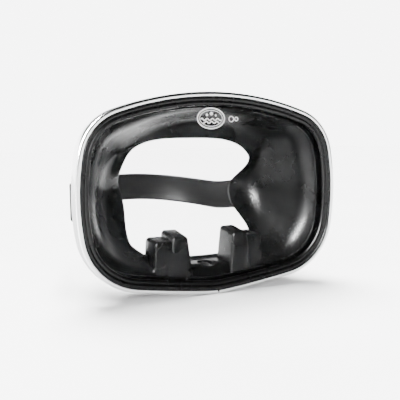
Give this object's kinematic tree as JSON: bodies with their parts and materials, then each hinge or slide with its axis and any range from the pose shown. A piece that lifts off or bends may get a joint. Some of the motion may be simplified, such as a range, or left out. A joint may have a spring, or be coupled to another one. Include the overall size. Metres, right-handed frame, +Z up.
{
  "type": "diving mask",
  "caption": "Oval single-lens diving mask: flat glass in a rubber skirt with finger wells, split steel band, purge valve and a head strap on swinging buckles.",
  "frame": {"origin": "floor point under the middle of the bounding box, with the mask standing on its steel band", "axes": "+X across the face to the right in the front view, +Y from the lens back to the head strap, +Z up"},
  "size_m": [0.162, 0.1484, 0.1136],
  "materials": {
    "glass": "clear polished",
    "skirt_rubber": "glossy moulded",
    "strap_rubber": "satin moulded",
    "polished_steel": "polished stainless",
    "buckle_steel": "tumbled stainless",
    "roller_steel": "knurled stainless",
    "valve_plastic": "satin",
    "valve_rubber": "soft satin",
    "washer_plastic": "natural nylon"
  },
  "bodies": {
    "mask": {"lens_glass": "glass", "skirt": "skirt_rubber", "front_band": "polished_steel", "joint_plate": "polished_steel", "joint_screw_left": "polished_steel", "joint_screw_right": "polished_steel", "purge_seat": "valve_plastic", "purge_cover": "skirt_rubber", "strap_bracket_left": "buckle_steel", "strap_bracket_right": "buckle_steel", "pivot_stud_left": "buckle_steel", "pivot_stud_right": "buckle_steel", "pivot_washer_left": "washer_plastic", "pivot_washer_right": "washer_plastic"},
    "purge_flap": {"purge_diaphragm": "valve_rubber"},
    "buckles": {"buckle_frame_left": "buckle_steel", "buckle_frame_right": "buckle_steel", "strap_bend_left": "strap_rubber", "strap_bend_right": "strap_rubber"},
    "roller_left": {"buckle_roller_left": "roller_steel"},
    "roller_right": {"buckle_roller_right": "roller_steel"},
    "strap": {"strap_loop": "strap_rubber", "keeper_left": "strap_rubber", "keeper_right": "strap_rubber"},
    "tail_left": {"strap_tail_left": "strap_rubber"},
    "tail_right": {"strap_tail_right": "strap_rubber"}
  },
  "joints": [
    {"name": "strap_swing", "type": "hinge", "parent": "mask", "child": "buckles", "pos_m": [0, -0.0422, 0.0507], "axis": [1, 0, 0], "range_deg": [-30, 30]},
    {"name": "strap_adjust", "type": "slide", "parent": "buckles", "child": "strap", "axis": [0, 1, 0], "range_m": [0, 0.01]},
    {"name": "tail_left_slide", "type": "slide", "parent": "buckles", "child": "tail_left", "axis": [0.2079, 0.9781, 0], "range_m": [-0.01, 0]},
    {"name": "tail_right_slide", "type": "slide", "parent": "buckles", "child": "tail_right", "axis": [-0.2079, 0.9781, 0], "range_m": [-0.01, 0]},
    {"name": "roller_left_spin", "type": "hinge", "parent": "buckles", "child": "roller_left", "pos_m": [-0.0665, -0.0302, 0.0507], "axis": [0, 0, 1], "range_deg": [0, 200]},
    {"name": "roller_right_spin", "type": "hinge", "parent": "buckles", "child": "roller_right", "pos_m": [0.0665, -0.0302, 0.0507], "axis": [0, 0, 1], "range_deg": [-200, 0]},
    {"name": "purge_lift", "type": "slide", "parent": "mask", "child": "purge_flap", "axis": [0, 0.342, -0.9397], "range_m": [0, 0.0008], "stiffness_N_per_m": 40}
  ],
  "couplings": [
    {"joint": "tail_left_slide", "follows": "strap_adjust", "ratio": -1},
    {"joint": "tail_right_slide", "follows": "strap_adjust", "ratio": -1},
    {"joint": "roller_left_spin", "follows": "strap_adjust", "rad_per_m": 344.8},
    {"joint": "roller_right_spin", "follows": "strap_adjust", "rad_per_m": -344.8}
  ]
}
